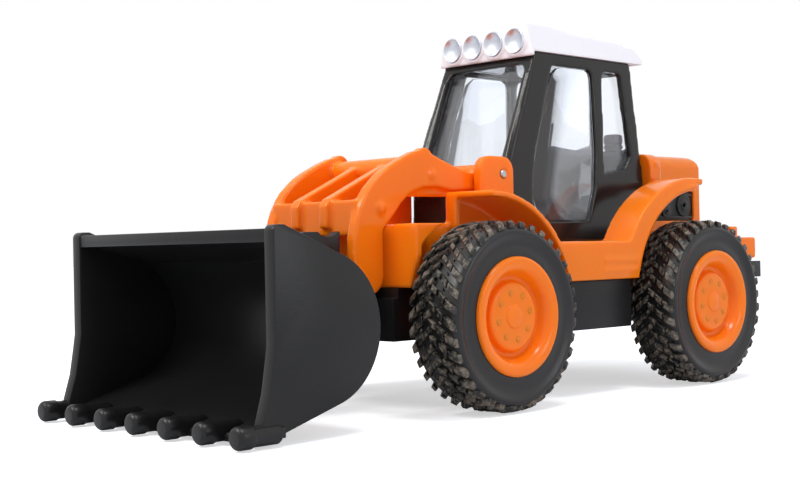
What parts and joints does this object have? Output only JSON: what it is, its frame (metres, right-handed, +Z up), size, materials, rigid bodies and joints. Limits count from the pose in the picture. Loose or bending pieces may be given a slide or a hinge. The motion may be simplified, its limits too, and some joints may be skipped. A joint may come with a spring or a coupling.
{
  "type": "toy wheel loader",
  "caption": "Toy wheel loader with a tilting toothed bucket on lifting arms, rolling axles, a glazed cab and a rear engine hood.",
  "frame": {"origin": "on the floor under the middle of the whole toy", "axes": "+X forward to the bucket teeth, +Y to the toy's left, +Z up"},
  "size_m": [0.3364, 0.145, 0.1656],
  "materials": {
    "orange_plastic": "glossy moulded orange",
    "black_plastic": "satin moulded black",
    "tyre_rubber": "dull soft black",
    "pin_steel": "bright cut steel",
    "window_clear": "clear moulded plastic with a faint blue tint",
    "white_plastic": "glossy moulded white",
    "lamp_silver": "silvered lamp face",
    "trim_plastic": "satin dark grey"
  },
  "bodies": {
    "chassis": {"chassis_frame": "black_plastic", "chassis_screws": "pin_steel", "body_shell": "orange_plastic", "engine_hood": "orange_plastic", "air_cleaner": "trim_plastic", "left_engine_panel": "black_plastic", "right_engine_panel": "black_plastic", "rear_bumper": "orange_plastic", "cab_frame": "black_plastic", "cab_glazing": "window_clear", "cab_floor": "black_plastic", "steering_wheel": "trim_plastic", "roof": "white_plastic", "roof_lamps": "lamp_silver", "arm_pivot_pin": "pin_steel"},
    "front_wheels": {"front_axle": "pin_steel", "front_left_rim": "orange_plastic", "front_right_rim": "orange_plastic", "front_left_tyre": "tyre_rubber", "front_right_tyre": "tyre_rubber"},
    "rear_wheels": {"rear_axle": "pin_steel", "rear_left_rim": "orange_plastic", "rear_right_rim": "orange_plastic", "rear_left_tyre": "tyre_rubber", "rear_right_tyre": "tyre_rubber"},
    "loader_arms": {"loader_arm": "orange_plastic", "bucket_pivot_pin": "pin_steel"},
    "bucket": {"bucket": "black_plastic"}
  },
  "joints": [
    {"name": "front_axle_spin", "type": "hinge", "parent": "chassis", "child": "front_wheels", "pos_m": [0.03725, 0, 0.038], "axis": [0, 1, 0], "continuous": true},
    {"name": "rear_axle_spin", "type": "hinge", "parent": "chassis", "child": "rear_wheels", "pos_m": [-0.10175, 0, 0.038], "axis": [0, 1, 0], "continuous": true},
    {"name": "arm_lift", "type": "hinge", "parent": "chassis", "child": "loader_arms", "pos_m": [0.00265, 0, 0.0964], "axis": [0, -1, 0], "range_deg": [0, 45]},
    {"name": "bucket_tilt", "type": "hinge", "parent": "loader_arms", "child": "bucket", "pos_m": [0.07575, 0, 0.055], "axis": [0, -1, 0], "range_deg": [-45, 14]}
  ]
}
